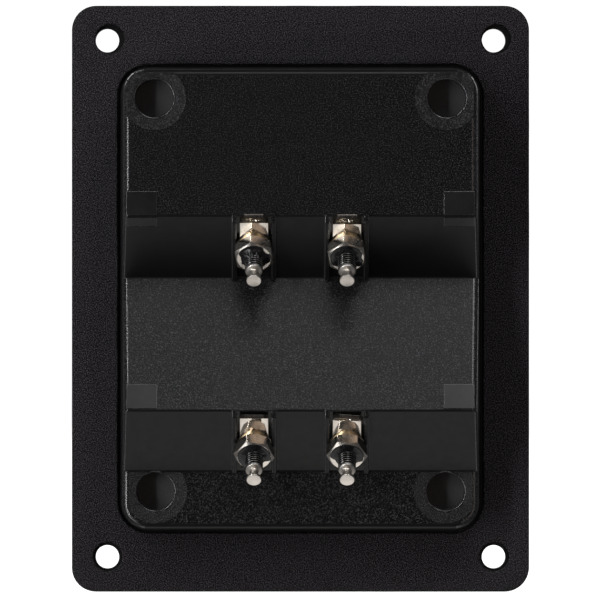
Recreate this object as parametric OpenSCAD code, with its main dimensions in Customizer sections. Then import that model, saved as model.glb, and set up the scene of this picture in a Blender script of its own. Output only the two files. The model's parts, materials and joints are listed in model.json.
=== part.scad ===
// Rectangular bi-wire loudspeaker terminal cup with four five-way binding posts, in millimetres.
// X runs across the cup, +Z is up, +Y faces the user and -Y points into the cabinet.
// The origin is the centre of the screw pattern, on the flange's rear face.
// Depth means distance into the cabinet from that face.

/* [Flange] */
// Width of the flange
flange_w = 103; // [99:1:110]
// Height of the flange
flange_h = 132; // [128:1:140]
// Thickness of the flange plate
flange_t = 3; // [2:0.5:4]
// Radius of the flange's corners
flange_corner_r = 5.5; // [3:0.5:7]
// Distance between screw holes across the flange
screw_pitch_x = 87; // [86:1:92]
// Distance between screw holes up the flange
screw_pitch_z = 116.3; // [115:0.1:121]
// Diameter of the screw holes in the plate
screw_hole_d = 5.3; // [4:0.1:5.5]

/* [Gasket] */
// Thickness of the foam gasket
gasket_t = 2; // [1:0.5:4]
// Gap between the gasket and the cup's side
gasket_gap = 0.4; // [0.2:0.1:0.8]
// Diameter of the screw holes in the gasket
gasket_hole_d = 6.4; // [5.6:0.1:7]

/* [Cup] */
// Width of the cup where it leaves the flange
cup_w = 81.2; // [79:0.2:83]
// Height of the cup where it leaves the flange
cup_h = 104.4; // [103:0.2:108]
// Radius of the cup's corners at the flange
cup_corner_r = 6.5; // [5:0.5:8]
// Thickness of the cup's walls
wall = 2.5; // [2:0.1:3]
// Draft angle of the cup's sides
draft = 3.2; // [1:0.2:5]
// Depth of the cup's deepest surfaces
cup_depth = 26; // [24:0.5:28]
// Depth of the shallow bottom band and of the valley between the two rows
step_depth = 14.2; // [13:0.2:16]
// Angle between a post's axis and the depth direction
post_tilt = 41; // [38:1:44]
// Height of the edge over the upper slanted wall
upper_ridge_z = 18.3; // [17:0.1:19]
// Height of the edge over the lower slanted wall
lower_ridge_z = -24.8; // [-26:0.1:-24]

/* [Corner bosses] */
// Distance of each boss from the middle, across
boss_x = 32.4; // [31:0.1:33]
// Height of the upper bosses
upper_boss_z = 44.4; // [43:0.1:45]
// Height of the lower bosses
lower_boss_z = -43; // [-44:0.1:-42.9]
// Diameter of the blind hole in each boss
boss_hole_d = 8.4; // [6:0.1:8.6]
// Depth of the blind hole in each boss
boss_hole_depth = 7; // [4:0.5:8]
// Thickness of a boss's wall and of its closed end
boss_wall = 2; // [1.5:0.1:2.5]

/* [Lug ribs] */
// Space between the two ribs beside a lug
rib_space = 7.8; // [7.6:0.1:8.2]
// Width of a rib
rib_w = 1; // [0.8:0.1:1.4]
// Height of a rib over the slanted wall
rib_h = 1; // [0.6:0.1:1.5]

/* [Posts] */
// Distance between the two posts of a row
post_pitch = 20.6; // [19:0.1:24]
// Height where an upper post's axis meets the slanted wall's cabinet side
upper_post_z = 11.9; // [11:0.1:12.5]
// Height where a lower post's axis meets the slanted wall's cabinet side
lower_post_z = -32.1; // [-32.5:0.1:-31]
// Diameter of the threaded front tube
tube_d = 7; // [6:0.1:7.5]
// Length of the threaded front tube past its shoulder
tube_l = 14; // [13:0.5:16]
// Diameter of the banana plug socket
socket_d = 4.1; // [4.05:0.01:4.2]
// Depth of the banana plug socket
socket_depth = 15; // [12:0.5:15.5]
// Diameter of the cross hole for bare wire
wire_hole_d = 3; // [2:0.1:3.4]
// Diameter of the shoulder and of the clamping washer
shoulder_d = 11; // [9:0.5:12]
// Thickness of the shoulder
shoulder_t = 1.5; // [1:0.1:2]
// Diameter of the rear stud
stud_d = 4; // [3.9:0.1:4.2]
// Play of the stud in the collar, the lug and the lock washer
stud_play = 0.6; // [0.2:0.1:0.8]
// Length of the stud's thread past the nut
stud_spare = 4.5; // [3:0.1:6]

/* [Insulating collars] */
// Diameter of the collar in front of the wall
collar_d = 13; // [12:0.5:14]
// Thickness of the collar in front of the wall
collar_t = 2.5; // [2:0.1:3]
// Diameter of the collar's spigot through the wall
spigot_d = 6.2; // [5.6:0.1:7]

/* [Knobs] */
// Outer diameter of a knob
knob_d = 14.4; // [13:0.2:15]
// Length of a knob
knob_l = 15; // [14:0.5:16]
// Number of grip flutes round a knob
knob_flutes = 18; // [12:1:24]
// Radius of one grip flute
flute_r = 0.8; // [0.5:0.1:1]
// Diameter of the insert's threaded sleeve
insert_d = 9.4; // [8.6:0.2:10]
// Diameter of the insert's clamping flange
insert_flange_d = 11.6; // [11:0.2:12]
// Length of the insert
insert_l = 8; // [7:0.5:10]
// Clearance round the tube inside the insert and the clamping washer
running_gap = 0.05; // [0.02:0.01:0.09]
// Thickness of the clamping washer
clamp_t = 1; // [0.8:0.1:1.5]
// Gap that keeps a moving face off the face it rests on
rest_gap = 0.05; // [0.02:0.01:0.1]

/* [Rear hardware] */
// Thickness of a solder lug's sheet
lug_t = 0.8; // [0.6:0.1:1]
// Radius of a lug's round base
lug_base_r = 4.3; // [4:0.1:4.6]
// Width of a lug's base between its flat sides
lug_base_w = 7.4; // [6.8:0.1:7.6]
// Width of a lug's tab
tab_w = 6.3; // [4.8:0.1:6.3]
// Length of the tab past its bend
tab_l = 7; // [6:0.1:8]
// Diameter of the hole in the tab
tab_hole_d = 2.6; // [1.6:0.1:3]
// Thickness of a lock washer
lock_t = 0.6; // [0.5:0.1:1]
// Outer diameter of a lock washer
lock_d = 7.4; // [7:0.1:7.8]
// Width of a nut across its flats
nut_af = 8; // [7:0.1:8]
// Thickness of a nut
nut_t = 3.2; // [2.8:0.1:3.4]

/* [Hidden] */
// Each post: name, side, height, colour, turn of its nut, angle of its tab's bend, distance of that bend
POSTS = [
    ["hf_positive", -1, upper_post_z, "firebrick", 38, 40, 7.5],
    ["hf_negative", 1, upper_post_z, "dimgray", 38, 38, 7.1],
    ["lf_positive", -1, lower_post_z, "firebrick", -9, 48, 8.5],
    ["lf_negative", 1, lower_post_z, "dimgray", -2, 44, 7.8],
];
POST_PIECES = [
    "post_body", "base_collar", "clamp_washer", "knob_insert",
    "knob_shell", "solder_lug", "lock_washer", "hex_nut",
];

$fn = 64;
BLACK_PLASTIC = "#17181a";
BLACK_FOAM = "#242226";
NICKEL = "#cfc6b8";
BRASS = "#c9a54a";
CUT = 1;

slope_z = (cup_depth - step_depth) / tan(post_tilt);

// The cabinet side of the back wall, as [depth, height] from the top down.
BACK = [
    [cup_depth, cup_h],
    [cup_depth, upper_ridge_z],
    [step_depth, upper_ridge_z - slope_z],
    [cup_depth, lower_ridge_z],
    [step_depth, lower_ridge_z - slope_z],
    [step_depth, -cup_h],
];

// The clear height of the back wall where each boss stands, as [side, height, depth].
BOSSES = [
    [-1, upper_boss_z, cup_depth],
    [1, upper_boss_z, cup_depth],
    [-1, lower_boss_z, step_depth],
    [1, lower_boss_z, step_depth],
];

// Stations along a post, from the slanted wall's cabinet side: rear ones into the cabinet, front ones to the user.
lock_z = lug_t;
nut_z = lock_z + lock_t;
thread_end = nut_z + nut_t + stud_spare;
shoulder_z = wall + collar_t;
tube_z = shoulder_z + shoulder_t;
tube_end = tube_z + tube_l;
clamp_z = tube_z + rest_gap;
knob_z = clamp_z + clamp_t + rest_gap;
knob_end = knob_z + knob_l;
insert_flange_t = 1;

function post_side(post) = post[1];
function post_z(post) = post[2];
function post_colour(post) = post[3];
function nut_turn(post) = post[4];
function tab_bend(post) = post[5];
function tab_bend_y(post) = post[6];

// How far the edge over a post's slanted wall is above the post's axis.
function ridge_rise(post) =
    (post_z(post) > 0 ? upper_ridge_z : lower_ridge_z) - post_z(post);

// The same edge's distance up the slanted wall from the post's axis.
function ridge_y(post) = ridge_rise(post) / cos(post_tilt);

// Depth of the slanted wall's cabinet side at a post's axis.
function post_depth(post) = cup_depth - ridge_rise(post) * tan(post_tilt);

// The normal that points out of the cabinet from an edge of BACK that runs from a to b.
function front_normal(a, b) =
    let (t = (b - a) / norm(b - a))
    [t[1], -t[0]];

// The corners of an outline moved towards the user by t, keeping its edges parallel.
function inset(outline, t) = [
    for (i = [0 : len(outline) - 1])
    let (last = len(outline) - 1)
    let (n1 = front_normal(outline[max(i - 1, 0)], outline[max(i, 1)]))
    let (n2 = front_normal(outline[min(i, last - 1)], outline[min(i + 1, last)]))
    outline[i] + t * (n1 + n2) / (1 + n1 * n2)
];

// Children drawn in X and height, rising in depth.
module into_cabinet() {
    rotate([90, 0, 0]) children();
}

// A prism across the cup between the plane at depth "from" and an outline of [depth, height].
module across(outline, from) {
    rotate([90, 0, -90])
        linear_extrude(flange_w, center = true)
            polygon(concat(outline, [[from, -cup_h], [from, cup_h]]));
}

// Children placed on a post's axis, with +Z into the cabinet and +Y up the slanted wall.
module on_post(post) {
    translate([post_side(post) * post_pitch / 2, -post_depth(post), post_z(post)])
        rotate([90 + post_tilt, 0, 0])
            children();
}

// Children placed on a post's axis, with +Z towards the user.
module before_post(post) {
    on_post(post)
        mirror([0, 0, 1])
            children();
}

module rounded_rectangle(w, h, r) {
    square([w - 2 * r, h], center = true);
    square([w, h - 2 * r], center = true);
    for (x = [-1, 1], y = [-1, 1])
        translate([x * (w / 2 - r), y * (h / 2 - r)])
            circle(r);
}

module screw_holes(d, from, to) {
    for (x = [-1, 1], z = [-1, 1])
        translate([x * screw_pitch_x / 2, z * screw_pitch_z / 2, from])
            cylinder(d = d, h = to - from);
}

// The drafted box of the cup, from depth "from" to its deepest point, smaller all round by "less".
module drafted_box(less, from) {
    hull()
        for (x = [-1, 1], z = [-1, 1])
            translate([x * (cup_w / 2 - cup_corner_r), z * (cup_h / 2 - cup_corner_r), from])
                cylinder(
                    r1 = cup_corner_r - less - from * tan(draft),
                    r2 = cup_corner_r - less - cup_depth * tan(draft),
                    h = cup_depth - from,
                    $fn = 48
                );
}

module cup_outside() {
    intersection() {
        into_cabinet() drafted_box(0, 0);
        across(BACK, 0);
    }
}

module cup_inside() {
    difference() {
        intersection() {
            into_cabinet() drafted_box(wall, -flange_t - CUT);
            across(inset(BACK, wall), -flange_t - CUT);
        }
        for (boss = BOSSES)
            into_cabinet()
                translate([boss[0] * boss_x, boss[1], boss[2] - boss_hole_depth - boss_wall])
                    cylinder(d = boss_hole_d + 2 * boss_wall, h = boss_hole_depth + boss_wall + CUT);
    }
}

// The two ribs beside a lug, which end at the cup's deepest surfaces.
module lug_ribs(post) {
    rib_l = slope_z / cos(post_tilt);
    intersection() {
        on_post(post)
            for (side = [-1, 1])
                translate([side * (rib_space + rib_w) / 2 - rib_w / 2, ridge_y(post) - rib_l, -wall / 2])
                    cube([rib_w, rib_l, wall / 2 + rib_h]);
        translate([-flange_w / 2, -cup_depth, -cup_h])
            cube([flange_w, cup_depth, 2 * cup_h]);
    }
}

module terminal_cup() {
    color(BLACK_PLASTIC)
        difference() {
            union() {
                cup_outside();
                into_cabinet()
                    translate([0, 0, -flange_t])
                        linear_extrude(flange_t)
                            rounded_rectangle(flange_w, flange_h, flange_corner_r);
                for (post = POSTS)
                    lug_ribs(post);
            }
            cup_inside();
            into_cabinet() screw_holes(screw_hole_d, -flange_t - CUT, CUT);
            for (boss = BOSSES)
                into_cabinet()
                    translate([boss[0] * boss_x, boss[1], boss[2] - boss_hole_depth])
                        cylinder(d = boss_hole_d, h = cup_depth);
            for (post = POSTS)
                on_post(post)
                    translate([0, 0, -wall - CUT])
                        cylinder(d = spigot_d + 0.1, h = wall + 2 * CUT);
        }
}

module gasket() {
    opening_w = cup_w + 2 * gasket_gap;
    opening_h = cup_h + 2 * gasket_gap;
    color(BLACK_FOAM)
        into_cabinet()
            difference() {
                linear_extrude(gasket_t)
                    rounded_rectangle(flange_w, flange_h, flange_corner_r);
                translate([0, 0, -CUT])
                    linear_extrude(gasket_t + 2 * CUT)
                        rounded_rectangle(opening_w, opening_h, cup_corner_r + gasket_gap);
                screw_holes(gasket_hole_d, -CUT, gasket_t + CUT);
            }
}

// The turned post: tube with its socket, shoulder, stud, and a neck with a button at the rear end.
module post_body(post) {
    stud_r = stud_d / 2;
    neck_r = 1.3;
    button_r = 1.65;
    collar_end = thread_end + 0.7;
    neck_end = collar_end + 1.7;
    button_end = neck_end + 0.7;
    chamfer = 0.4;
    color(NICKEL)
        before_post(post)
            difference() {
                rotate_extrude()
                    polygon([
                        [0, -button_end],
                        [button_r, -button_end],
                        [button_r, -neck_end],
                        [neck_r, -neck_end],
                        [neck_r, -collar_end],
                        [stud_r, -thread_end],
                        [stud_r, shoulder_z],
                        [shoulder_d / 2, shoulder_z],
                        [shoulder_d / 2, tube_z],
                        [tube_d / 2, tube_z],
                        [tube_d / 2, tube_end - chamfer],
                        [tube_d / 2 - chamfer, tube_end],
                        [0, tube_end],
                    ]);
                translate([0, 0, tube_end - socket_depth])
                    cylinder(d = socket_d, h = socket_depth + CUT);
                translate([0, 0, tube_z + 0.2 + wire_hole_d / 2])
                    rotate([0, 90, 0])
                        cylinder(d = wire_hole_d, h = tube_d + CUT, center = true);
            }
}

module base_collar(post) {
    color(post_colour(post))
        before_post(post)
            difference() {
                union() {
                    cylinder(d = spigot_d, h = shoulder_z);
                    translate([0, 0, wall])
                        cylinder(d = collar_d, h = collar_t);
                }
                translate([0, 0, -CUT])
                    cylinder(d = stud_d + stud_play, h = shoulder_z + 2 * CUT);
            }
}

module clamp_washer(post) {
    color(NICKEL)
        before_post(post)
            translate([0, 0, clamp_z])
                difference() {
                    cylinder(d = shoulder_d, h = clamp_t);
                    translate([0, 0, -CUT])
                        cylinder(d = tube_d + 2 * running_gap, h = clamp_t + 2 * CUT);
                }
}

module insert_outline() {
    cylinder(d = insert_flange_d, h = insert_flange_t);
    cylinder(d = insert_d, h = insert_l);
}

module knob_insert(post) {
    color(BRASS)
        before_post(post)
            translate([0, 0, knob_z])
                difference() {
                    insert_outline();
                    translate([0, 0, -CUT])
                        cylinder(d = tube_d + 2 * running_gap, h = insert_l + 2 * CUT);
                }
}

module knob_shell(post) {
    r = knob_d / 2;
    bevel = 1;
    color(post_colour(post))
        before_post(post)
            translate([0, 0, knob_z])
                difference() {
                    rotate_extrude()
                        polygon([
                            [0, 0],
                            [r - bevel / 2, 0],
                            [r, bevel / 2],
                            [r, knob_l - bevel],
                            [r - bevel, knob_l],
                            [0, knob_l],
                        ]);
                    insert_outline();
                    translate([0, 0, -CUT])
                        cylinder(d = tube_d + 0.8, h = knob_l + 2 * CUT);
                    for (i = [0 : knob_flutes - 1])
                        rotate(i * 360 / knob_flutes)
                            translate([r + flute_r / 4, 0, 2])
                                cylinder(r = flute_r, h = knob_l);
                }
}

// A lug with a round base and a blade tab that bends up off the slanted wall.
module solder_lug(post) {
    color(NICKEL)
        on_post(post)
            difference() {
                union() {
                    linear_extrude(lug_t)
                        intersection() {
                            circle(lug_base_r);
                            square([lug_base_w, 2 * lug_base_r], center = true);
                        }
                    translate([-tab_w / 2, 0, 0])
                        cube([tab_w, tab_bend_y(post), lug_t]);
                    translate([0, tab_bend_y(post), 0])
                        rotate([tab_bend(post), 0, 0])
                            tab_end();
                }
                translate([0, 0, -CUT])
                    cylinder(d = stud_d + stud_play, h = lug_t + 2 * CUT);
            }
}

module tab_end() {
    corner = 1;
    difference() {
        linear_extrude(lug_t)
            polygon([
                [-tab_w / 2, 0],
                [tab_w / 2, 0],
                [tab_w / 2, tab_l - corner],
                [tab_w / 2 - corner, tab_l],
                [-tab_w / 2 + corner, tab_l],
                [-tab_w / 2, tab_l - corner],
            ]);
        translate([0, tab_l / 2, -CUT])
            cylinder(d = tab_hole_d, h = lug_t + 2 * CUT);
    }
}

module lock_washer(post) {
    slit = 0.6;
    color(NICKEL)
        on_post(post)
            translate([0, 0, lock_z])
                difference() {
                    cylinder(d = lock_d, h = lock_t);
                    translate([0, 0, -CUT])
                        cylinder(d = stud_d + stud_play, h = lock_t + 2 * CUT);
                    translate([0, -slit / 2, -CUT])
                        cube([lock_d, slit, lock_t + 2 * CUT]);
                }
}

module hex_nut(post) {
    color(NICKEL)
        on_post(post)
            translate([0, 0, nut_z])
                rotate(nut_turn(post))
                    difference() {
                        cylinder(d = nut_af / cos(30), h = nut_t, $fn = 6);
                        translate([0, 0, -CUT])
                            cylinder(d = stud_d + 0.04, h = nut_t + 2 * CUT);
                    }
}

terminal_cup();
gasket();
for (post = POSTS) {
    post_body(post);
    base_collar(post);
    clamp_washer(post);
    knob_insert(post);
    knob_shell(post);
    solder_lug(post);
    lock_washer(post);
    hex_nut(post);
}
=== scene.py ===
"""Bi-wire loudspeaker terminal cup, seen from inside the cabinet.

Shapes are worked out in millimetres, in the frame's axes: +X across, +Z up, -Y into the cabinet.
A post's own axes have their origin on the slanted wall's cabinet side: x across, y up the
wall, z into the cabinet.
"""

import json
import math

import bmesh
import bpy
from mathutils import Matrix, Vector, noise

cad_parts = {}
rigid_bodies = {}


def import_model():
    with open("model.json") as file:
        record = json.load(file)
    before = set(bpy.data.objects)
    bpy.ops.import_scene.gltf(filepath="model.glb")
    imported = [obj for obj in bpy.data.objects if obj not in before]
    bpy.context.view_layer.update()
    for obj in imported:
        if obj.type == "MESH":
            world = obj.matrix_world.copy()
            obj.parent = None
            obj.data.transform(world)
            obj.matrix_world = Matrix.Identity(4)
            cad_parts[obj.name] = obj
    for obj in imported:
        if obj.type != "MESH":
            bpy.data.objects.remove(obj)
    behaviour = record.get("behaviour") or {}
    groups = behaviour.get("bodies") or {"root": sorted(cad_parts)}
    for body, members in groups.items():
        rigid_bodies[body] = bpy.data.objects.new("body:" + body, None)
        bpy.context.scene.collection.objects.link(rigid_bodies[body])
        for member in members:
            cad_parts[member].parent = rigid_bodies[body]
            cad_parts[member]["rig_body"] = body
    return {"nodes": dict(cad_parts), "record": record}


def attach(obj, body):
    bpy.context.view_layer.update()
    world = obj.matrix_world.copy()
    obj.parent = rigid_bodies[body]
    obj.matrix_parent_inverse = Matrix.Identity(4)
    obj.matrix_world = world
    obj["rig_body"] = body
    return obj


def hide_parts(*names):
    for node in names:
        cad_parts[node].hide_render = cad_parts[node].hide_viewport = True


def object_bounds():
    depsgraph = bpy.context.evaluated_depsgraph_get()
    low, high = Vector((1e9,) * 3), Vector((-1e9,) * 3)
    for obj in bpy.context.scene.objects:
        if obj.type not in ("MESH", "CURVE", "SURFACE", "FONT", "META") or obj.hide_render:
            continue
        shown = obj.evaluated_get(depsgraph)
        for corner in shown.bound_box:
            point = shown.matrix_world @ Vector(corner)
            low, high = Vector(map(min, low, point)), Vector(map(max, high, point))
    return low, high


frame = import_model()
CAD_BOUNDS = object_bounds()

MM = 0.001
NODES = frame["nodes"]
MOUNTS = {mount["name"]: mount for mount in frame["record"]["mounts"]}

# ---------------------------------------------------------------- sizes, in millimetres

FLANGE_FRONT = 3
CUP_DEPTH = 26
STEP_DEPTH = 14.2
RIB_INSIDE = 3.9
RIB_REACH = 5.3
RECESS_X = 32.4
RECESS_R = 4.2
RECESS_ROWS = {44.4: CUP_DEPTH, -43: STEP_DEPTH}
RING_R = 7.1
RING_RISE = 0.16
RING_SIDE = 38.4
RING_LIMITS = {44.4: (20, 50.1), -43: (-50.7, -38.7)}
UPPER_RIDGE_Z = 18.3
LOWER_RIDGE_Z = -24.8
PAD_X = (31.7, 38.6)
PAD_ROWS = (
    (UPPER_RIDGE_Z - 2.3, UPPER_RIDGE_Z - 0.3),
    (UPPER_RIDGE_Z + 0.2, 23.8),
    (LOWER_RIDGE_Z + 0.4, -18.9),
)
PAD_RISE = 0.22

LUG_T = 0.8
LOCK_T = 0.6
NUT_AF = 8
NUT_T = 3.2
NUT_Z = LUG_T + LOCK_T
STUD_R = 2
STUD_PITCH = 0.7
STUD_THREAD_END = NUT_Z + NUT_T + 4.5
NECK_R = 0.95
NECK_END = STUD_THREAD_END + 2.4
FLARE_R = 1.85
BUTTON_R = 1.65
BUTTON_T = 0.7
TUBE_R = 3.5
SHOULDER_R = 5.5
SHOULDER_Z = 5
TUBE_Z = 6.5
TUBE_END = 20.5
TUBE_PITCH = 1
SOCKET_R = 2.05
SOCKET_DEPTH = 15
SOCKET_MIDDLE = 13
WIRE_HOLE_R = 1.5
KNOB_Z = 7.6
KNOB_L = 15
KNOB_R = 7.2
KNOB_FLUTES = 18
FLUTE_R = 0.8
TAB_L = 7

# Each post: its nut's turn, its tab's bend, where the tab bends, the tab's skew, its plastic,
# and its thread lock: how high it heaps up round the stud, and the bare places on the nut's
# face, as (angle, half width, reach of the thread lock there). Angles are in degrees.
POSTS = {
    "hf_positive": {
        "turn": 38, "bend": 40, "bend_y": 7.5, "skew": 0, "plastic": "red_plastic",
        "heap": 1.9, "bare": [(186, 26, 2.9), (232, 30, 2.9), (-48, 34, 3.1), (38, 18, 3.1)],
    },
    "hf_negative": {
        "turn": 38, "bend": 38, "bend_y": 7.1, "skew": 0, "plastic": "black_plastic",
        "heap": 0.45, "bare": [(6, 14, 3.3), (-62, 26, 3.0), (238, 24, 3.1)],
    },
    "lf_positive": {
        "turn": -9, "bend": 48, "bend_y": 8.5, "skew": 0, "plastic": "red_plastic",
        "heap": 0.4, "bare": [(-42, 24, 2.7)],
    },
    "lf_negative": {
        "turn": -2, "bend": 44, "bend_y": 7.8, "skew": -6, "plastic": "black_plastic",
        "heap": 0.3, "bare": [(216, 34, 2.8), (-44, 24, 2.8)],
    },
}


def post_axes(post):
    """The matrix from a post's own millimetres to the frame's metres."""
    mount = MOUNTS[f"{post}_banana_socket"]
    front = Vector(mount["axis"]).normalized()
    back = -front
    across = Vector((1, 0, 0))
    up = back.cross(across)
    origin = Vector(mount["pos_m"]) - front * SOCKET_MIDDLE * MM
    turn = Matrix((across, up, back)).transposed().to_4x4()
    return Matrix.Translation(origin) @ turn @ Matrix.Scale(MM, 4)


# ---------------------------------------------------------------- materials


def ramp(tree, source, low, high, start=0.3, end=0.7):
    """A colour that goes from low to high as the texture's value goes from start to end."""
    node = tree.nodes.new("ShaderNodeValToRGB")
    node.color_ramp.elements[0].position = start
    node.color_ramp.elements[1].position = end
    node.color_ramp.elements[0].color = (*low, 1)
    node.color_ramp.elements[1].color = (*high, 1)
    tree.links.new(source, node.inputs["Fac"])
    return node.outputs["Color"]


def noise_texture(tree, size_mm, detail=2.0):
    """Noise with features of about size_mm, in the object's own space."""
    place = tree.nodes.new("ShaderNodeTexCoord")
    texture = tree.nodes.new("ShaderNodeTexNoise")
    texture.inputs["Scale"].default_value = 1 / (size_mm * MM)
    texture.inputs["Detail"].default_value = detail
    tree.links.new(place.outputs["Object"], texture.inputs["Vector"])
    return texture.outputs["Fac"]


def finish(name, low, high, rough, grain_mm, bump_mm, **extra):
    """A procedural finish: its grain goes from the colour low to the colour high.

    rough is the range of its roughness. extra may give "detail" and "edges" of the grain,
    and "metallic", "specular" and "coat" of the surface.
    """
    material = bpy.data.materials.new(name)
    material.use_nodes = True
    tree = material.node_tree
    shader = tree.nodes["Principled BSDF"]
    shader.inputs["Metallic"].default_value = extra.get("metallic", 0)
    shader.inputs["Specular IOR Level"].default_value = extra.get("specular", 0.5)
    shader.inputs["Coat Weight"].default_value = extra.get("coat", 0)
    shader.inputs["Coat Roughness"].default_value = 0.08
    grain = noise_texture(tree, grain_mm, extra.get("detail", 2))
    colour = ramp(tree, grain, low, high, *extra.get("edges", (0.3, 0.7)))
    tree.links.new(colour, shader.inputs["Base Color"])
    patches = noise_texture(tree, grain_mm * 6)
    polish = ramp(tree, patches, (rough[0],) * 3, (rough[1],) * 3)
    tree.links.new(polish, shader.inputs["Roughness"])
    bump = tree.nodes.new("ShaderNodeBump")
    bump.inputs["Distance"].default_value = bump_mm * MM
    bump.inputs["Strength"].default_value = 1
    tree.links.new(grain, bump.inputs["Height"])
    tree.links.new(bump.outputs["Normal"], shader.inputs["Normal"])
    return material


# Spark-eroded plastic: its bump is the real grain, and the sparse bright specks in its colour are
# painted glints.
SPARKED_GLINTS = finish(
    "sparked_plastic_painted_glints", (0.0005, 0.0005, 0.0008), (0.125, 0.125, 0.138), (0.29, 0.34), 0.26, 0.05,
    specular=0.29, edges=(0.515, 0.8),
)
SATIN = finish(
    "satin_plastic", (0.0042, 0.0042, 0.005), (0.0058, 0.0058, 0.0068), (0.32, 0.38), 0.25, 0.002,
    specular=0.34,
)
GLOSSY = finish(
    "glossy_plastic", (0.003, 0.003, 0.0032), (0.005, 0.005, 0.0053), (0.12, 0.2), 0.4, 0.004,
    specular=0.3,
)
# Polished rounded edges and outlines: partly a real polish, partly a painted highlight in their
# brighter colour specks and high specular level, which draws the bright rim lines.
EDGE_SHEEN = finish(
    "polished_edge_painted_highlight", (0.008, 0.008, 0.009), (0.06, 0.06, 0.066), (0.12, 0.26), 0.3, 0.02,
    specular=0.9, edges=(0.42, 0.7),
)
PAD = finish(
    "pad_plastic", (0.006, 0.006, 0.007), (0.011, 0.011, 0.0128), (0.3, 0.38), 1.6, 0.003,
    specular=0.45,
)
# The ring round each recess: the same real grain, with the bright specks in its colour as painted
# glints.
BOSS_GLINTS = finish(
    "boss_plastic_painted_glints", (0.004, 0.004, 0.005), (0.11, 0.11, 0.12), (0.29, 0.36), 0.26, 0.05,
    edges=(0.48, 0.78),
)
# Paler plastic inside the recesses: painted light that lifts the shade on their walls and floors.
RECESS_FILL = finish(
    "recess_plastic_painted_light", (0.03, 0.03, 0.033), (0.045, 0.045, 0.05), (0.45, 0.55), 0.5, 0.01,
    specular=0.8,
)
FOAM = finish(
    "foam", (0.0015, 0.0013, 0.0016), (0.115, 0.101, 0.12), (0.75, 0.9), 0.25, 0.22,
    specular=0.3, edges=(0.46, 0.7),
)
NICKEL = finish(
    "nickel", (0.84, 0.78, 0.7), (0.92, 0.86, 0.79), (0.08, 0.16), 0.9, 0.001, metallic=1
)
NUT_NICKEL = finish(
    "milled_nickel", (0.82, 0.77, 0.7), (0.9, 0.85, 0.79), (0.18, 0.32), 0.5, 0.002, metallic=1
)
DISC = finish(
    "turned_nickel", (0.88, 0.83, 0.76), (0.95, 0.9, 0.84), (0.28, 0.38), 0.15, 0.004, metallic=1
)
# Dark nickel for the lug's blade past the bend: a painted dark reflection, not a duller metal.
BLADE_SHADE = finish(
    "nickel_painted_shade", (0.1, 0.09, 0.082), (0.2, 0.185, 0.17), (0.24, 0.36), 0.5, 0.002, metallic=1
)
SEALED = finish(
    "thread_lock", (0.006, 0.006, 0.007), (0.016, 0.016, 0.0185), (0.08, 0.2), 0.5, 0.006,
    specular=0.45,
)
THREAD = finish(
    "blackened_thread", (0.008, 0.008, 0.009), (0.02, 0.02, 0.022), (0.2, 0.3), 0.5, 0.002,
    metallic=0.6,
)
# Lighter metal on the stud thread's crests: a painted highlight that draws the thread's bright
# lines.
CREST_HIGHLIGHT = finish(
    "thread_crest_painted_highlight", (0.24, 0.235, 0.23), (0.46, 0.45, 0.44), (0.4, 0.5), 0.5, 0.002, metallic=1
)
WARM_NICKEL = finish(
    "warm_nickel", (0.92, 0.76, 0.5), (0.98, 0.84, 0.6), (0.3, 0.42), 0.5, 0.002, metallic=1
)
BRASS = finish(
    "brass", (0.60, 0.42, 0.17), (0.72, 0.53, 0.24), (0.16, 0.26), 0.8, 0.001, metallic=1
)
RED = finish(
    "red_plastic", (0.30, 0.008, 0.008), (0.36, 0.012, 0.011), (0.16, 0.24), 0.5, 0.002, coat=0.4
)
BLACK = finish(
    "black_plastic", (0.006, 0.006, 0.0068), (0.010, 0.010, 0.0115), (0.16, 0.24), 0.5, 0.002,
    coat=0.4,
)
PLASTICS = {"red_plastic": RED, "black_plastic": BLACK}

# ---------------------------------------------------------------- building blocks


def add_mesh(name, build, materials, sharp=35):
    """An object from a bmesh, smooth but for edges sharper than that angle."""
    mesh = bpy.data.meshes.new(name)
    build.to_mesh(mesh)
    build.free()
    for material in materials:
        mesh.materials.append(material)
    mesh.shade_smooth()
    mesh.set_sharp_from_angle(angle=math.radians(sharp))
    made = bpy.data.objects.new(name, mesh)
    bpy.context.scene.collection.objects.link(made)
    return made


def stands_for(piece, node):
    """piece is shown instead of a CAD node, on that node's body."""
    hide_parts(node)
    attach(piece, NODES[node]["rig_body"])
    return piece


def lathe(profile, segments, closed=False, outline=None):
    """A bmesh of (radius, height, material) rows revolved about Z. outline bends a point of it."""
    build = bmesh.new()
    rings = []
    for radius, height, _ in profile:
        if radius == 0:
            rings.append([build.verts.new((0, 0, height))])
            continue
        ring = []
        for k in range(segments):
            angle = 2 * math.pi * k / segments
            r, z = outline(radius, height, angle) if outline else (radius, height)
            ring.append(build.verts.new((r * math.cos(angle), r * math.sin(angle), z)))
        rings.append(ring)
    pairs = list(zip(rings, rings[1:], profile))
    if closed:
        pairs.append((rings[-1], rings[0], profile[-1]))
    for one, two, row in pairs:
        for k in range(segments):
            n = (k + 1) % segments
            corners = [one[k % len(one)], one[n % len(one)], two[n % len(two)], two[k % len(two)]]
            face = build.faces.new(list(dict.fromkeys(corners)))
            face.material_index = row[2]
    bmesh.ops.recalc_face_normals(build, faces=build.faces)
    return build


def rounded(points, radius, steps=3):
    """(radius, height, material) rows with each corner of points rounded."""
    rows = [points[0]]
    for before, here, after in zip(points, points[1:], points[2:]):
        p, a, b = (Vector(row[:2]) for row in (here, before, after))
        to_a, to_b = a - p, b - p
        cut = min(radius, to_a.length / 2.2, to_b.length / 2.2)
        start, end = p + to_a.normalized() * cut, p + to_b.normalized() * cut
        for i in range(steps + 1):
            t = i / steps
            spot = start * (1 - t) ** 2 + p * 2 * t * (1 - t) + end * t**2
            rows.append((spot.x, spot.y, before[2] if i < steps else here[2]))
    return rows + [points[-1]]


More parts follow.
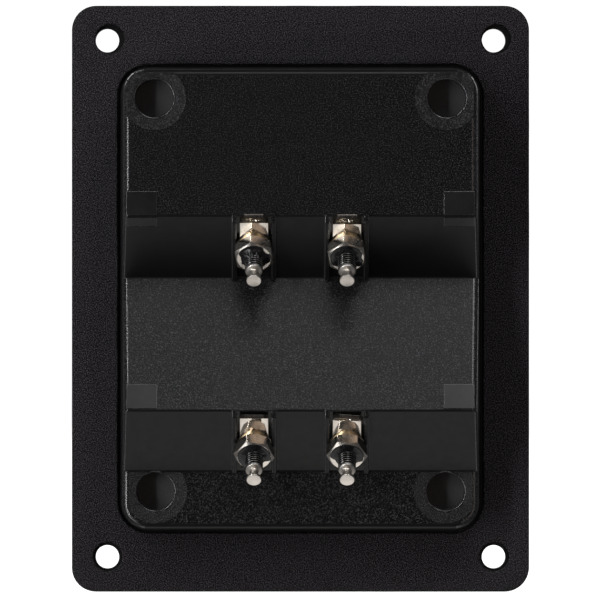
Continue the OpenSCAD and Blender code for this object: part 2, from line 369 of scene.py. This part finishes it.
def baked(piece):
    """piece with its modifiers applied."""
    bpy.context.view_layer.update()
    final = piece.evaluated_get(bpy.context.evaluated_depsgraph_get())
    mesh = bpy.data.meshes.new_from_object(final)
    piece.modifiers.clear()
    piece.data = mesh
    return piece


def bored(piece, build):
    """piece less the closed shape in build."""
    cutter = add_mesh("cutter", build, [])
    cut = piece.modifiers.new("bore", "BOOLEAN")
    cut.operation = "DIFFERENCE"
    cut.solver = "EXACT"
    cut.object = cutter
    baked(piece)
    bpy.data.objects.remove(cutter)
    return piece


def drum(radius, start, end, segments=48):
    """A closed cylinder about Z between two heights."""
    return lathe([(0, start, 0), (radius, start, 0), (radius, end, 0), (0, end, 0)], segments)


# ---------------------------------------------------------------- the cup

CUP_FINISHES = [SPARKED_GLINTS, SATIN, GLOSSY, EDGE_SHEEN, PAD, BOSS_GLINTS, RECESS_FILL]
TEXTURED, PLAIN, CHANNEL, POLISHED_SHEEN, PADDED, RAISED, HOLLOW = range(7)
BEVELS = {
    "rim": 1.25,
    "slanted_rim": 0.6,
    "flange": 0.6,
    "ridge": 0.35,
    "valley": 0.25,
    "recess": 0.35,
    "rib": 0.16,
    "between_ribs": 0.15,
}
WIDEST_BEVEL = 1.3
RECESS_FACE_AREA = 60 * MM * MM


def recess_depth(spot):
    """The depth of the face round the recess that a spot of the cup belongs to, if any."""
    for z, depth in RECESS_ROWS.items():
        if math.hypot(abs(spot.x) - RECESS_X, spot.z - z) < RECESS_R + 0.3:
            return depth
    return None


def bevel_of(edge, posts):
    """How wide an edge of the cup is rounded, in millimetres."""
    if len(edge.link_faces) != 2 or edge.calc_face_angle(0) < math.radians(20):
        return 0
    middle = (edge.verts[0].co + edge.verts[1].co) / 2 / MM
    along = (edge.verts[1].co - edge.verts[0].co).normalized()
    outward = [face.normal.y for face in edge.link_faces]
    if middle.y > FLANGE_FRONT - 0.1:
        return BEVELS["flange"]
    if middle.y > -0.1:
        return 0
    depth = recess_depth(middle)
    if depth:
        return BEVELS["recess"] if middle.y < 0.4 - depth else 0
    near_post = min(abs(middle.x - x) for x in posts)
    if near_post < RIB_REACH:
        between_ribs = abs(along.x) > 0.9 and near_post < RIB_INSIDE - 0.3
        return BEVELS["between_ribs" if between_ribs else "rib"]
    if min(outward) < -0.5 and abs(max(outward)) < 0.3:
        back_face = min(edge.link_faces, key=lambda face: face.normal.y)
        return BEVELS["slanted_rim" if back_face.normal.z < -0.5 else "rim"]
    if max(outward) < -0.5:
        return BEVELS["ridge"] if edge.is_convex else BEVELS["valley"]
    return 0


def add_ring(build, side, z, depth):
    """The faint raised ring round a recess, cut off where the plastic's flat face ends."""
    sunk = 0.2
    steps = 96
    low, high = RING_LIMITS[z]

    def outer_r(out, up, give):
        room = [RING_R + give]
        room.append((RING_SIDE - RECESS_X) / (side * out) if side * out > 0 else RING_R)
        room.append((high - z) / up if up > 0 else (low - z) / min(up, -1e-6))
        return min(room)

    # Each ring of points: its height, and what it gives outwards, or None on the inner edge.
    rows = ((-sunk, 0.2), (RING_RISE, 0), (RING_RISE * 0.2, None), (-sunk, None))
    rings = []
    for height, give in rows:
        ring = []
        for k in range(steps):
            angle = 2 * math.pi * k / steps
            out, up = math.cos(angle), math.sin(angle)
            r = RECESS_R + 0.45 if give is None else outer_r(out, up, give)
            spot = Vector((side * RECESS_X + r * out, -depth - height, z + r * up))
            ring.append(build.verts.new(spot * MM))
        rings.append(ring)
    # The ring's outer wall takes the polished finish: a painted highlight line round the ring.
    finishes = (POLISHED_SHEEN, RAISED, RAISED, RAISED)
    for one, two, material in zip(rings, rings[1:] + rings[:1], finishes):
        for k in range(steps):
            n = (k + 1) % steps
            build.faces.new([one[k], one[n], two[n], two[k]]).material_index = material


def back_wall_y(z):
    """The cup's outside between the two ridges' heights, at a height."""
    slope = (CUP_DEPTH - STEP_DEPTH) / math.tan(math.radians(41))
    valley = UPPER_RIDGE_Z - slope
    if z >= UPPER_RIDGE_Z:
        return -CUP_DEPTH
    if z >= valley:
        return -STEP_DEPTH - (z - valley) / slope * (CUP_DEPTH - STEP_DEPTH)
    share = (valley - z) / (valley - LOWER_RIDGE_Z)
    return -STEP_DEPTH - share * (CUP_DEPTH - STEP_DEPTH)


def add_pad(build, side, low, high):
    """The smooth raised pad at one end of a ridge."""
    ends = sorted(side * x for x in PAD_X)
    loops = []
    for inset, rise in ((0, -0.4), (0.03, PAD_RISE * 0.6), (0.16, PAD_RISE)):
        left, right = ends[0] + inset, ends[1] - inset
        bottom, top = low + inset, high - inset
        loop = []
        for x, z in ((left, bottom), (right, bottom), (right, top), (left, top)):
            loop.append(build.verts.new(Vector((x, back_wall_y(z) - rise, z)) * MM))
        loops.append(loop)
    build.faces.new(loops[0]).material_index = PADDED
    build.faces.new(loops[-1]).material_index = PADDED
    # The pad's sides take the polished finish: painted highlight lines round the pad.
    for one, two in zip(loops, loops[1:]):
        for j in range(4):
            k = (j + 1) % 4
            build.faces.new([one[j], one[k], two[k], two[j]]).material_index = POLISHED_SHEEN


def paint_cup(build, posts):
    """Gives each face of the cup its finish: textured, but for the smooth places."""
    for face in build.faces:
        middle = face.calc_center_median() / MM
        slanted = face.normal.y < -0.5 and face.normal.z < -0.5
        between_ribs = min(abs(middle.x - x) for x in posts) < RIB_INSIDE
        # Recess walls and floors take the paler plastic: painted light against their shade.
        if middle.y < -1 and recess_depth(middle) and face.calc_area() < RECESS_FACE_AREA:
            face.material_index = HOLLOW
        elif slanted:
            face.material_index = CHANNEL if between_ribs and middle.y < -STEP_DEPTH else PLAIN
        elif face.normal.y > 0.2 or middle.y > -2:
            face.material_index = PLAIN
        else:
            face.material_index = TEXTURED


def shade_level_edges(build):
    """The rounded edges that run across the cup take the plain finish: painted shade that keeps the
    top and bottom rims dim. The others stay polished, with their painted highlight.
    """
    for face in build.faces:
        middle = face.calc_center_median() / MM
        at_end = abs(middle.z) > 49.5 and abs(middle.x) < 34
        level = abs(face.normal.x) < 0.08 or at_end
        if face.material_index == POLISHED_SHEEN and level and not recess_depth(middle):
            face.material_index = PLAIN


def make_cup():
    """The moulded dish: the CAD solid with rounded edges, finishes, pads and rings."""
    build = bmesh.new()
    build.from_mesh(NODES["terminal_cup"].data)
    bmesh.ops.remove_doubles(build, verts=build.verts, dist=0.002 * MM)
    bmesh.ops.dissolve_limit(
        build, angle_limit=math.radians(0.4), verts=build.verts, edges=build.edges
    )
    posts = {MOUNTS[f"{post}_banana_socket"]["pos_m"][0] / MM for post in POSTS}
    weight = build.edges.layers.float.new("bevel_weight_edge")
    build.normal_update()
    for edge in build.edges:
        edge[weight] = bevel_of(edge, posts) / WIDEST_BEVEL
    paint_cup(build, posts)
    cup = add_mesh("terminal_cup_moulding", build, CUP_FINISHES)
    bevel = cup.modifiers.new("rounding", "BEVEL")
    bevel.limit_method = "WEIGHT"
    bevel.width = WIDEST_BEVEL * MM
    bevel.segments = 4
    # The rounded edges take the polished finish, partly a painted highlight on the rims.
    bevel.material = POLISHED_SHEEN
    bevel.use_clamp_overlap = False
    bevel.miter_outer = "MITER_SHARP"
    baked(cup)
    build = bmesh.new()
    build.from_mesh(cup.data)
    shade_level_edges(build)
    for side in (-1, 1):
        for low, high in PAD_ROWS:
            add_pad(build, side, low, high)
        for z, depth in RECESS_ROWS.items():
            add_ring(build, side, z, depth)
    bmesh.ops.recalc_face_normals(build, faces=build.faces)
    build.to_mesh(cup.data)
    build.free()
    cup.data.shade_smooth()
    cup.data.set_sharp_from_angle(angle=math.radians(32))
    smooth = cup.modifiers.new("flat_faces", "WEIGHTED_NORMAL")
    smooth.keep_sharp = True
    smooth.weight = 100
    stands_for(cup, "terminal_cup")


# ---------------------------------------------------------------- the gasket

GASKET_T = 2
GASKET_SIZE = (103, 132, 5.5)
GASKET_OPENING = (82, 105.2, 6.9)
GASKET_HOLE_R = 3.3
SCREW_PITCH = (87, 116.3)
UPPER_SLIP = (0.6, 0.3)
LOWER_SLIP = (0.15, 0.1)


def rounded_outline(w, h, r, side_step=3, arc=8):
    """The points of a rounded rectangle, in order, with stops along its sides."""
    points = []
    corners = ((1, 1, 0), (-1, 1, 90), (-1, -1, 180), (1, -1, 270))
    for sx, sz, first in corners:
        middle = Vector((sx * (w / 2 - r), sz * (h / 2 - r)))
        for i in range(arc + 1):
            angle = math.radians(first + 90 * i / arc)
            points.append(middle + Vector((math.cos(angle), math.sin(angle))) * r)
    full = []
    for a, b in zip(points, points[1:] + points[:1]):
        steps = max(1, round((b - a).length / side_step))
        full += [a + (b - a) * i / steps for i in range(steps)]
    return full


def circle(x, z, r, segments=40):
    """The points of a circle, in order."""
    angles = [2 * math.pi * k / segments for k in range(segments)]
    return [Vector((x + r * math.cos(angle), z + r * math.sin(angle))) for angle in angles]


def sheet_with_holes(build, outlines, height):
    """Fills the area between closed outlines with triangles at one height."""
    edges = []
    for outline in outlines:
        verts = [build.verts.new((p.x, p.y, height)) for p in outline]
        edges += [build.edges.new(pair) for pair in zip(verts, verts[1:] + verts[:1])]
    return bmesh.ops.triangle_fill(build, use_beauty=True, use_dissolve=False, edges=edges)


def thick_sheet(outlines, thickness, rounding, segments=3):
    """A flat sheet between closed outlines, from z 0 up, with rounded edges."""
    build = bmesh.new()
    sheet_with_holes(build, outlines, 0)
    faces = list(build.faces)
    grown = bmesh.ops.extrude_face_region(build, geom=faces)
    lifted = [item for item in grown["geom"] if isinstance(item, bmesh.types.BMVert)]
    bmesh.ops.translate(build, verts=lifted, vec=(0, 0, thickness))
    bmesh.ops.recalc_face_normals(build, faces=build.faces)
    bmesh.ops.dissolve_limit(
        build, angle_limit=math.radians(0.2), verts=build.verts, edges=build.edges
    )
    sharp = [edge for edge in build.edges if edge.calc_face_angle(0) > math.radians(60)]
    flat = [edge for edge in sharp if abs(edge.verts[0].co.z - edge.verts[1].co.z) < 1e-6]
    bmesh.ops.bevel(
        build,
        geom=flat,
        offset=rounding,
        offset_type="OFFSET",
        segments=segments,
        profile=0.5,
        affect="EDGES",
        clamp_overlap=False,
    )
    return build


def wavy(points, inward, seed, depth):
    """A foam edge wanders: each point of it moves towards the foam, by depth at most."""
    moved = []
    for before, p, after in zip(points[-1:] + points[:-1], points, points[1:] + points[:1]):
        along = (after - before).normalized()
        out = Vector((along.y, -along.x))
        wander = 0.5 + 0.5 * noise.noise(Vector((p.x / 9, p.y / 9, seed)))
        moved.append(p - out * inward * depth * wander)
    return moved


def make_gasket():
    """The foam gasket, with its holes a little off the flange's holes."""
    outlines = [
        wavy(rounded_outline(*GASKET_SIZE), 1, 1.5, 0.16),
        wavy(rounded_outline(*GASKET_OPENING), -1, 4.5, 0.25),
    ]
    for sx in (-1, 1):
        for sz in (-1, 1):
            slip = UPPER_SLIP if sz > 0 else LOWER_SLIP
            x = sx * SCREW_PITCH[0] / 2 + slip[0]
            z = sz * SCREW_PITCH[1] / 2 + slip[1]
            outlines.append(circle(x, z, GASKET_HOLE_R))
    build = thick_sheet(outlines, GASKET_T, 0.35)
    build.transform(Matrix.Rotation(math.radians(90), 4, "X") @ Matrix.Scale(MM, 4))
    gasket = add_mesh("foam_gasket", build, [FOAM], sharp=50)
    stands_for(gasket, "gasket")


# ---------------------------------------------------------------- the posts


def threaded(radius, start, end, pitch, depth):
    """An outline for lathe() with a helical thread between two heights."""

    def outline(r, z, angle):
        if abs(r - radius) > 1e-6 or not start < z < end:
            return r, z
        turn = (z / pitch - angle / (2 * math.pi)) % 1
        groove = min(1, max(0, 1.5 - abs(turn - 0.5) * 4.5))
        fade = min(1, (z - start) / pitch, (end - z) / pitch)
        return r - depth * groove * fade, z

    return outline


def thread_rows(radius, start, end, pitch, material, per_turn=8):
    """The rows of a lathe() profile that a thread needs."""
    count = round((end - start) / pitch * per_turn)
    return [(radius, start + (end - start) * i / count, material) for i in range(count + 1)]


def make_post_body(post, axes):
    """The whole turned post: the rear stud, the shoulder and the threaded front tube."""
    nickel, sealed, disc, crest_highlight = range(4)
    thread_start = NUT_Z + NUT_T - 0.8
    thread_end = STUD_THREAD_END - 0.4
    tube_thread = (0.6 - TUBE_END, -TUBE_Z - 0.4)
    front = rounded(
        [
            (0, -TUBE_END, nickel),
            (TUBE_R - 0.4, -TUBE_END, nickel),
            (TUBE_R, 0.4 - TUBE_END, nickel),
            (TUBE_R, tube_thread[0], nickel),
        ],
        0.1,
    )
    front += thread_rows(TUBE_R, *tube_thread, TUBE_PITCH, nickel, 7)
    middle = rounded(
        [
            (TUBE_R, -TUBE_Z - 0.3, nickel),
            (TUBE_R, -TUBE_Z, nickel),
            (SHOULDER_R, -TUBE_Z, nickel),
            (SHOULDER_R, -SHOULDER_Z, nickel),
            (STUD_R, -SHOULDER_Z, nickel),
            (STUD_R, -SHOULDER_Z + 1, nickel),
        ],
        0.2,
    )
    thread = thread_rows(STUD_R, thread_start, thread_end, STUD_PITCH, sealed)
    rear = rounded(
        [
            (STUD_R, thread_end, disc),
            (FLARE_R, thread_end + 0.4, disc),
            (NECK_R + 0.05, thread_end + 0.65, disc),
            (NECK_R, NECK_END, disc),
            (BUTTON_R, NECK_END, disc),
            (BUTTON_R, NECK_END + BUTTON_T, disc),
            (0, NECK_END + BUTTON_T - 0.01, disc),
        ],
        0.14,
    )[1:]
    stud = threaded(STUD_R, thread_start, thread_end, STUD_PITCH, 0.46)
    tube = threaded(TUBE_R, *tube_thread, TUBE_PITCH, 0.45)

    def outline(r, z, angle):
        return tube(*stud(r, z, angle), angle)

    build = lathe(front + middle + thread + rear, 48, outline=outline)
    # The thread's crests take the lighter metal: a painted highlight along the thread.
    for face in build.faces:
        spot = face.calc_center_median()
        at_crest = math.hypot(spot.x, spot.y) > STUD_R - 0.07
        if face.material_index == sealed and at_crest:
            face.material_index = crest_highlight
    piece = add_mesh(f"{post}_threaded_post", build, [NICKEL, THREAD, DISC, CREST_HIGHLIGHT])
    bored(piece, drum(SOCKET_R, -TUBE_END - 1, SOCKET_DEPTH - TUBE_END))
    wire = drum(WIRE_HOLE_R, -TUBE_R - 1, TUBE_R + 1, 32)
    hole = -(TUBE_Z + 0.2 + WIRE_HOLE_R)
    wire.transform(Matrix.Translation((0, 0, hole)) @ Matrix.Rotation(math.radians(90), 4, "Y"))
    bored(piece, wire)
    piece.data.transform(axes)
    piece.data.shade_smooth()
    piece.data.set_sharp_from_angle(angle=math.radians(35))
    stands_for(piece, f"{post}_post_body")


def hexagon(flats, corner_r, arc=4, side=5):
    """A hexagon's points with rounded corners, the first corner on +X."""
    points = []
    for corner in range(6):
        angle = math.radians(60 * corner)
        middle = Vector((math.cos(angle), math.sin(angle))) * (flats - 2 * corner_r) / math.sqrt(3)
        for i in range(arc + 1):
            turn = angle + math.radians(-30 + 60 * i / arc)
            points.append(middle + Vector((math.cos(turn), math.sin(turn))) * corner_r)
    full = []
    for a, b in zip(points, points[1:] + points[:1]):
        steps = side if (b - a).length > 1 else 1
        full += [a + (b - a) * i / steps for i in range(steps)]
    return full


def make_nut(post, axes, turn):
    """A hexagon nut with a cone turned off each face's corners and a countersunk bore."""
    bore = STUD_R + 0.02
    sink = 0.35
    flat_r = NUT_AF / 2 - 0.25
    slope = math.tan(math.radians(30))
    outline = hexagon(NUT_AF, 0.3)
    build = bmesh.new()
    levels = []
    for height, away in ((0, 1), (NUT_T, -1)):
        rings = []
        for radius, drop in ((bore, sink), (bore + sink, 0), (flat_r, 0)):
            rings.append([(p.normalized() * radius, height + away * drop) for p in outline])
        rings.append([(p, height + away * (p.length - flat_r) * slope) for p in outline])
        levels.append(rings if away == 1 else list(reversed(rings)))
    rings = [
        [build.verts.new((p.x, p.y, z)) for p, z in ring] for ring in levels[0] + levels[1]
    ]
    count = len(outline)
    for one, two in zip(rings, rings[1:] + rings[:1]):
        for k in range(count):
            n = (k + 1) % count
            build.faces.new([one[k], one[n], two[n], two[k]])
    bmesh.ops.recalc_face_normals(build, faces=build.faces)
    turned = Matrix.Rotation(math.radians(turn), 4, "Z")
    build.transform(axes @ Matrix.Translation((0, 0, NUT_Z)) @ turned)
    nut = add_mesh(f"{post}_chamfered_nut", build, [NUT_NICKEL], sharp=20)
    stands_for(nut, f"{post}_hex_nut")


def make_thread_lock(post, axes, heap, bare):
    """The black thread lock that covers most of the nut's face and heaps up round the stud."""
    segments = 72
    full_reach = 3.72
    skin = 0.07
    sunk = 0.1
    shares = (0, 0.12, 0.26, 0.42, 0.6, 0.78, 0.92, 1)
    seed = len(post) + 7 * list(POSTS).index(post)
    build = bmesh.new()
    rings = []
    for share in (0, *shares, 1):
        ring = []
        for k in range(segments):
            angle = 2 * math.pi * k / segments
            reach = full_reach
            for middle, half, short in bare:
                off = abs((math.degrees(angle) - middle + 180) % 360 - 180) / half
                if off < 1:
                    reach -= (full_reach - short) * min(1, 2 * (1 - off))
            reach += 0.12 * noise.noise(Vector((math.cos(angle) * 2, math.sin(angle) * 2, seed)))
            radius = STUD_R - 0.3 + (reach - STUD_R + 0.3) * share
            spot = Vector((radius * math.cos(angle), radius * math.sin(angle), 0))
            lumps = 0.5 + 0.5 * noise.noise(spot * 1.6 + Vector((0, 0, seed)))
            rise = skin + (heap * (0.35 + lumps) * max(0, 1 - share * 1.25) ** 1.3)
            rise += heap * 0.12 * noise.noise(spot * 4 + Vector((seed, 0, 0))) * (1 - share)
            top = 0 < len(rings) <= len(shares)
            edge = share == 1
            height = (0.01 if edge else rise) if top else -sunk
            ring.append(build.verts.new((spot.x, spot.y, NUT_Z + NUT_T + height)))
        rings.append(ring)
    for one, two in zip(rings, rings[1:] + rings[:1]):
        for k in range(segments):
            n = (k + 1) % segments
            build.faces.new([one[k], one[n], two[n], two[k]])
    bmesh.ops.recalc_face_normals(build, faces=build.faces)
    build.transform(axes)
    lock = add_mesh(f"{post}_thread_lock", build, [SEALED], sharp=60)
    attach(lock, NODES[f"{post}_hex_nut"]["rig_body"])


def make_lug(post, axes, bend, bend_y, skew):
    """A stamped lug: flat base, and a blade tab that bends up with a small radius."""
    base_r = 4.3
    base_x = 3.7
    tab_x = 3.15
    corner = 1.0
    inner_r = 0.35
    stud_hole_r = 2.3
    tab_hole_r = 1.3
    angle = math.radians(bend)
    outer_r = inner_r + LUG_T
    lost = outer_r * math.tan(angle / 2)
    start = bend_y - lost
    end = start + outer_r * angle + TAB_L - lost
    swing = math.acos(base_x / base_r)
    angles = [math.pi + swing + (math.pi - 2 * swing) * i / 16 for i in range(17)]
    arc = [Vector((base_r * math.cos(a), base_r * math.sin(a))) for a in angles]
    side = ((base_x, 1.6), (tab_x, 2.6), (tab_x, end - corner), (tab_x - corner, end))
    right = [Vector(point) for point in side]
    left = [Vector((-p.x, p.y)) for p in reversed(right)]
    outline = arc + right + left
    hole_y = end - TAB_L / 2
    holes = [circle(0, 0, stud_hole_r, 32), circle(0, hole_y, tab_hole_r, 28)]
    build = thick_sheet([outline, *holes], LUG_T, 0.06, 2)
    rows = 10
    for i in range(-1, rows + 2):
        y = start + outer_r * angle * i / rows
        geometry = list(build.verts) + list(build.edges) + list(build.faces)
        bmesh.ops.bisect_plane(
            build, geom=geometry, plane_co=(0, y, 0), plane_no=(0, 1, 0), dist=1e-5
        )
    bmesh.ops.triangulate(build, faces=[face for face in build.faces if len(face.verts) > 4])
    # The blade's outer face past the bend and its end take the dark nickel: a painted dark
    # reflection.
    for face in build.faces:
        spot = face.calc_center_median()
        in_hole = math.hypot(spot.x, spot.y - hole_y) < tab_hole_r + 0.02
        if spot.y > start + outer_r * angle and spot.z > 0.02 and not in_hole:
            face.material_index = 1
    twist = Matrix.Rotation(math.radians(skew), 4, "Z")
    pivot = Matrix.Translation((0, bend_y, 0))
    for vert in build.verts:
        if vert.co.y < start:
            continue
        arc_y = vert.co.y - start
        turned = min(arc_y / outer_r, angle)
        past = max(0, arc_y - outer_r * angle)
        reach = outer_r - vert.co.z
        y = start + reach * math.sin(turned) + past * math.cos(turned)
        z = outer_r - reach * math.cos(turned) + past * math.sin(turned)
        share = turned / angle
        swung = pivot @ twist @ pivot.inverted() @ Vector((vert.co.x, y, z))
        vert.co = Vector((vert.co.x, y, z)).lerp(swung, share)
    build.transform(axes)
    lug = add_mesh(f"{post}_bent_lug", build, [NICKEL, BLADE_SHADE], sharp=40)
    stands_for(lug, f"{post}_solder_lug")


def make_collar(post, axes, plastic):
    """The insulating collar: a rounded disc with a spigot through the wall."""
    wall = 2.5
    spigot = 3.1
    bore = 2.3
    disc = 6.5
    corners = [
        (bore, -0.05, 0),
        (spigot, -0.05, 0),
        (spigot, -wall, 0),
        (disc, -wall, 0),
        (disc, -SHOULDER_Z, 0),
        (bore, -SHOULDER_Z, 0),
    ]
    build = lathe(rounded(corners, 0.3), 64, closed=True)
    build.transform(axes)
    collar = add_mesh(f"{post}_insulating_collar", build, [PLASTICS[plastic]])
    stands_for(collar, f"{post}_base_collar")


def make_knob(post, axes, plastic):
    """The fluted knob, hollow for its threaded insert."""
    bottom = -KNOB_Z
    top = -KNOB_Z - KNOB_L
    opening = 3.9
    sleeve = 4.7
    flange = 5.8
    corners = [(flange, bottom, 0), (KNOB_R, bottom, 0), (KNOB_R, top, 0), (opening, top, 0)]
    outside = rounded(corners, 0.9, 5)
    flute_start = bottom - 2
    last_round = next(i for i, row in enumerate(outside) if abs(row[0] - KNOB_R) < 1e-5)
    stops = [flute_start + 0.6, flute_start, flute_start - 0.6, flute_start - 4, flute_start - 8]
    rows = outside[: last_round + 1] + [(KNOB_R, z, 0) for z in stops] + outside[last_round + 1 :]
    inside = [
        (opening, top, 0),
        (opening, bottom - 8, 0),
        (sleeve, bottom - 8, 0),
        (sleeve, bottom - 1, 0),
        (flange, bottom - 1, 0),
    ]
    centre = KNOB_R + FLUTE_R / 4

    def fluted(r, z, angle):
        if r < KNOB_R - 1.2 or z > flute_start + 0.5:
            return r, z
        step = 2 * math.pi / KNOB_FLUTES
        off = (angle + step / 2) % step - step / 2
        sideways = centre * math.sin(off)
        if abs(sideways) >= FLUTE_R:
            return r, z
        floor = centre * math.cos(off) - math.sqrt(FLUTE_R**2 - sideways**2)
        fade = min(1, max(0, (flute_start + 0.5 - z) / 0.9))
        return min(r, r - (KNOB_R - floor) * fade * (1 if r > 6.9 else 0.6)), z

    build = lathe(rows + inside, KNOB_FLUTES * 12, closed=True, outline=fluted)
    build.transform(axes)
    knob = add_mesh(f"{post}_fluted_knob", build, [PLASTICS[plastic]], sharp=40)
    stands_for(knob, f"{post}_knob_shell")


def keep_node(node, material, width=0.12):
    """A CAD node that is shown as it is, with its edges broken."""
    piece = NODES[node]
    piece.data.materials.clear()
    piece.data.materials.append(material)
    bevel = piece.modifiers.new("edges", "BEVEL")
    bevel.width = width * MM
    bevel.segments = 2
    bevel.limit_method = "ANGLE"
    bevel.angle_limit = math.radians(50)


make_cup()
make_gasket()
for post, facts in POSTS.items():
    axes = post_axes(post)
    make_post_body(post, axes)
    make_nut(post, axes, facts["turn"])
    make_thread_lock(post, axes, facts["heap"], facts["bare"])
    make_lug(post, axes, facts["bend"], facts["bend_y"], facts["skew"])
    make_collar(post, axes, facts["plastic"])
    make_knob(post, axes, facts["plastic"])
    keep_node(f"{post}_lock_washer", WARM_NICKEL, 0.08)
    keep_node(f"{post}_clamp_washer", NICKEL)
    keep_node(f"{post}_knob_insert", BRASS)

# ---------------------------------------------------------------- floor, light and camera

LOW_Z = CAD_BOUNDS[0][2]


def pale_stage(name, emission):
    """A pale material that glows, so the ground behind the object stays white."""
    material = bpy.data.materials.new(name)
    material.use_nodes = True
    tree = material.node_tree
    shader = tree.nodes["Principled BSDF"]
    shader.inputs["Roughness"].default_value = 0.9
    shader.inputs["Emission Strength"].default_value = emission
    pattern = noise_texture(tree, 300)
    colour = ramp(tree, pattern, (0.86, 0.86, 0.86), (0.88, 0.88, 0.88))
    glow = ramp(tree, pattern, (0.99, 0.99, 0.99), (1, 1, 1))
    tree.links.new(colour, shader.inputs["Base Color"])
    tree.links.new(glow, shader.inputs["Emission Color"])
    return material


def stage_piece(name, build, material):
    """Floor or backdrop that only the camera sees, so the world alone lights the object."""
    piece = add_mesh(name, build, [material])
    piece.visible_diffuse = False
    piece.visible_glossy = False
    piece.visible_transmission = False
    piece.visible_shadow = False
    return piece


STAGE_R = 3

floor = bmesh.new()
bmesh.ops.create_circle(floor, cap_ends=True, segments=96, radius=STAGE_R)
floor.transform(Matrix.Translation((0, 0, LOW_Z - 0.0003)))
stage_piece("floor", floor, pale_stage("pale_floor", 0.95))
dome = bmesh.new()
bmesh.ops.create_uvsphere(dome, u_segments=64, v_segments=32, radius=STAGE_R)
stage_piece("backdrop", dome, pale_stage("pale_backdrop", 1.0))


def studio_world():
    """White behind the cup, dark on the viewer's side, and a warm bench below."""
    world = bpy.data.worlds.new("studio")
    bpy.context.scene.world = world
    world.use_nodes = True
    tree = world.node_tree
    direction = tree.nodes.new("ShaderNodeTexCoord").outputs["Generated"]
    parts = tree.nodes.new("ShaderNodeSeparateXYZ")
    tree.links.new(direction, parts.inputs["Vector"])

    def spread(axis, stops):
        shift = tree.nodes.new("ShaderNodeMapRange")
        shift.inputs["From Min"].default_value = -1
        tree.links.new(parts.outputs[axis], shift.inputs["Value"])
        node = tree.nodes.new("ShaderNodeValToRGB")
        elements = node.color_ramp.elements
        while len(elements) < len(stops):
            elements.new(0.5)
        for element, (place, colour) in zip(elements, stops):
            element.position = place
            element.color = (*colour, 1)
        tree.links.new(shift.outputs["Result"], node.inputs["Fac"])
        return node.outputs["Color"]

    depth = spread(
        "Y",
        [
            (0.0, (0.03, 0.03, 0.031)),
            (0.42, (0.04, 0.04, 0.041)),
            (0.9, (0.1, 0.1, 0.1)),
            (1.0, (0.8, 0.8, 0.8)),
        ],
    )
    bench = spread(
        "Z",
        [
            (0.0, (0.85, 0.83, 0.81)),
            (0.02, (0.6, 0.58, 0.56)),
            (0.05, (0.12, 0.115, 0.11)),
            (0.12, (0.04, 0.04, 0.04)),
            (0.25, (0, 0, 0)),
        ],
    )
    both = tree.nodes.new("ShaderNodeMix")
    both.data_type = "RGBA"
    both.blend_type = "ADD"
    both.inputs["Factor"].default_value = 1
    colour_a, colour_b = [socket for socket in both.inputs if socket.type == "RGBA"]
    tree.links.new(depth, colour_a)
    tree.links.new(bench, colour_b)
    background = tree.nodes["Background"]
    background.inputs["Strength"].default_value = 1
    mixed = next(socket for socket in both.outputs if socket.type == "RGBA")
    tree.links.new(mixed, background.inputs["Color"])


def softbox(name, place, size, power, colour=(1, 1, 1)):
    """A lamp of width and height size, in metres, that faces the object."""
    light = bpy.data.lights.new(name, "AREA")
    light.shape = "RECTANGLE"
    light.size, light.size_y = size
    light.energy = power
    light.color = colour
    lamp = bpy.data.objects.new(name, light)
    lamp.location = place
    lamp.rotation_euler = (-Vector(place)).to_track_quat("-Z", "Y").to_euler()
    bpy.context.scene.collection.objects.link(lamp)


studio_world()
softbox("key", (0.3, -0.8, 1.05), (0.9, 0.45), 4.4)
softbox("left", (-0.8, -0.9, -0.4), (0.7, 0.9), 2.5)
softbox("right", (0.47, -1.2, -0.12), (0.6, 0.7), 0.5, (1, 0.8, 0.66))
softbox("strip", (-0.72, -1.1, 0.3), (0.08, 1.7), 7)
softbox("front_left", (-0.7, 1.2, 0.8), (1.0, 0.8), 7)
softbox("front_right", (0.9, 1.1, 0.5), (0.6, 0.8), 3)

camera = bpy.data.cameras.new("camera")
camera.lens = 399.5
camera.sensor_width = 36
camera.clip_end = 20
viewer = bpy.data.objects.new("camera", camera)
viewer.location = (-0.00011, -1.5, -0.00029)
viewer.rotation_euler = (math.radians(90), 0, 0)
bpy.context.scene.collection.objects.link(viewer)
bpy.context.scene.camera = viewer
bpy.context.scene.view_settings.view_transform = "Standard"
